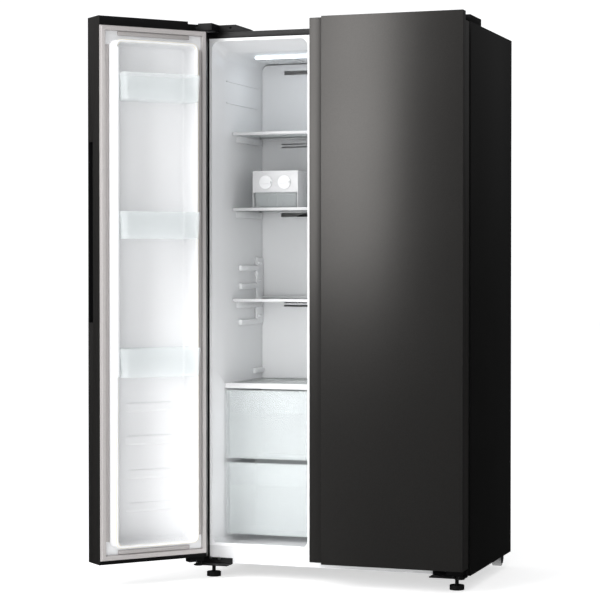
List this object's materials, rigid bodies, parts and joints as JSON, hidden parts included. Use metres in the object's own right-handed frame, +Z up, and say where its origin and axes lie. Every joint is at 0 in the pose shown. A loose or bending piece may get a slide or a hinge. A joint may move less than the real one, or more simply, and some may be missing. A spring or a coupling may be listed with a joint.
{
  "type": "side-by-side refrigerator",
  "caption": "Two-door upright refrigerator with freezer compartment, swinging doors, shelves, clear drawers, door bins, levelling feet and rear rollers.",
  "frame": {"origin": "on the floor, midway between the soles of the two front levelling feet", "axes": "+Z up, the closed doors face -Y, +X to the viewer's right when standing before the doors"},
  "size_m": [1.1638, 0.9149, 1.786],
  "materials": {
    "door_finish": "fine-grained dark satin coating over steel sheet",
    "grip_strip_finish": "dark satin coating over steel sheet",
    "cabinet_paint": "black paint with a fine grain",
    "black_plastic": "black moulded plastic",
    "liner_plastic": "white moulded plastic",
    "door_liner_plastic": "white moulded plastic",
    "cover_plastic": "white moulded plastic",
    "white_trim": "white moulded plastic",
    "tray_plastic": "white moulded plastic",
    "clear_plastic": "clear moulded plastic with a faint blue-green tint",
    "shelf_glass": "clear toughened glass",
    "lamp_lens": "white diffusing lens over the lamp strip",
    "gasket_rubber": "soft grey magnetic seal",
    "insulation_foam": "pale yellow rigid foam",
    "white_steel": "white painted sheet steel",
    "galvanised_steel": "zinc-coated sheet steel",
    "grille_steel": "dark painted sheet steel",
    "hinge_steel": "black painted steel plate",
    "plated_steel": "zinc-plated steel",
    "foot_plastic": "black moulded plastic",
    "roller_plastic": "light grey moulded plastic",
    "compressor_paint": "black painted steel shell",
    "coil_aluminium": "bare aluminium tube and fins",
    "condenser_steel": "dark coated tube and fins",
    "fan_plastic": "dark grey moulded plastic",
    "drip_plastic": "grey moulded plastic"
  },
  "bodies": {
    "cabinet": {"back_panel": "galvanised_steel", "base_frame": "galvanised_steel", "bottom_hinge_brackets": "hinge_steel", "cabinet_insulation": "insulation_foam", "cabinet_shell": "cabinet_paint", "ceiling_lamps": "lamp_lens", "compressor": "compressor_paint", "condenser": "condenser_steel", "condenser_fan_frame": "fan_plastic", "control_panel": "white_trim", "drip_tray": "drip_plastic", "evaporator": "coil_aluminium", "evaporator_fan_ring": "fan_plastic", "freezer_back_cover": "cover_plastic", "freezer_liner": "liner_plastic", "freezer_shelf_glass": "shelf_glass", "freezer_shelf_trims": "white_trim", "fridge_back_cover": "cover_plastic", "fridge_liner": "liner_plastic", "fridge_shelf_glass": "shelf_glass", "fridge_shelf_trims": "white_trim", "front_plinth": "white_steel", "hinge_covers": "black_plastic", "hinge_screws": "plated_steel", "ice_maker_housing": "white_trim", "mullion_plate": "white_steel", "rear_grille": "grille_steel", "roller_brackets": "galvanised_steel", "shelf_brackets": "white_trim", "top_hinge_plates": "plated_steel"},
    "left_door": {"left_door_skin": "door_finish", "left_door_insulation": "insulation_foam", "left_door_liner": "door_liner_plastic", "left_door_top_cap": "black_plastic", "left_door_bottom_cap": "black_plastic", "left_door_gasket": "gasket_rubber", "left_door_grip": "black_plastic", "left_door_bins": "clear_plastic"},
    "right_door": {"right_door_skin": "door_finish", "right_door_insulation": "insulation_foam", "right_door_liner": "door_liner_plastic", "right_door_top_cap": "black_plastic", "right_door_bottom_cap": "black_plastic", "right_door_gasket": "gasket_rubber", "right_door_grip": "black_plastic", "right_door_grip_strip": "grip_strip_finish", "right_door_bins": "clear_plastic"},
    "freezer_drawer_upper": {"freezer_drawer_upper": "clear_plastic"},
    "freezer_drawer_lower": {"freezer_drawer_lower": "clear_plastic"},
    "crisper_upper": {"crisper_upper": "clear_plastic"},
    "crisper_lower": {"crisper_lower": "clear_plastic"},
    "ice_tray_left": {"ice_tray_left": "tray_plastic"},
    "ice_tray_right": {"ice_tray_right": "tray_plastic"},
    "ice_box": {"ice_box": "clear_plastic"},
    "evaporator_fan": {"evaporator_fan": "fan_plastic"},
    "condenser_fan": {"condenser_fan": "fan_plastic"},
    "rear_roller_left": {"rear_roller_left": "roller_plastic"},
    "rear_roller_right": {"rear_roller_right": "roller_plastic"},
    "levelling_foot_left": {"levelling_foot_left": "foot_plastic"},
    "levelling_foot_right": {"levelling_foot_right": "foot_plastic"}
  },
  "joints": [
    {"name": "left_door", "type": "hinge", "parent": "cabinet", "child": "left_door", "pos_m": [-0.4335, -0.0659, 0.9], "axis": [0, 0, -1], "range_deg": [-130.5, 1]},
    {"name": "right_door", "type": "hinge", "parent": "cabinet", "child": "right_door", "pos_m": [0.4335, -0.0659, 0.9], "axis": [0, 0, 1], "range_deg": [0, 130]},
    {"name": "freezer_drawer_upper", "type": "slide", "parent": "cabinet", "child": "freezer_drawer_upper", "axis": [0, -1, 0], "range_m": [0, 0.3]},
    {"name": "freezer_drawer_lower", "type": "slide", "parent": "cabinet", "child": "freezer_drawer_lower", "axis": [0, -1, 0], "range_m": [0, 0.24]},
    {"name": "crisper_upper", "type": "slide", "parent": "cabinet", "child": "crisper_upper", "axis": [0, -1, 0], "range_m": [0, 0.04]},
    {"name": "crisper_lower", "type": "slide", "parent": "cabinet", "child": "crisper_lower", "axis": [0, -1, 0], "range_m": [0, 0.04]},
    {"name": "ice_tray_left", "type": "hinge", "parent": "cabinet", "child": "ice_tray_left", "pos_m": [-0.2835, 0.2, 1.2835], "axis": [0, 1, 0], "range_deg": [0, 125], "stiffness_Nm_per_rad": 0.05},
    {"name": "ice_tray_right", "type": "hinge", "parent": "cabinet", "child": "ice_tray_right", "pos_m": [-0.2185, 0.2, 1.2835], "axis": [0, 1, 0], "range_deg": [0, 125], "stiffness_Nm_per_rad": 0.05},
    {"name": "ice_box", "type": "slide", "parent": "cabinet", "child": "ice_box", "axis": [0, -1, 0], "range_m": [0, 0.18]},
    {"name": "evaporator_fan", "type": "hinge", "parent": "cabinet", "child": "evaporator_fan", "pos_m": [-0.24275, 0.4475, 1.12], "axis": [0, 1, 0], "continuous": true},
    {"name": "condenser_fan", "type": "hinge", "parent": "cabinet", "child": "condenser_fan", "pos_m": [-0.06, 0.4565, 0.1494], "axis": [1, 0, 0], "continuous": true},
    {"name": "rear_roller_left", "type": "hinge", "parent": "cabinet", "child": "rear_roller_left", "pos_m": [-0.4135, 0.5085, 0.02], "axis": [1, 0, 0], "continuous": true},
    {"name": "rear_roller_right", "type": "hinge", "parent": "cabinet", "child": "rear_roller_right", "pos_m": [0.4135, 0.5085, 0.02], "axis": [1, 0, 0], "continuous": true},
    {"name": "levelling_foot_left", "type": "hinge", "parent": "cabinet", "child": "levelling_foot_left", "pos_m": [-0.4075, 0, 0.02], "axis": [0, 0, 1], "range_deg": [0, 360]},
    {"name": "levelling_foot_right", "type": "hinge", "parent": "cabinet", "child": "levelling_foot_right", "pos_m": [0.4075, 0, 0.02], "axis": [0, 0, 1], "range_deg": [0, 360]}
  ]
}
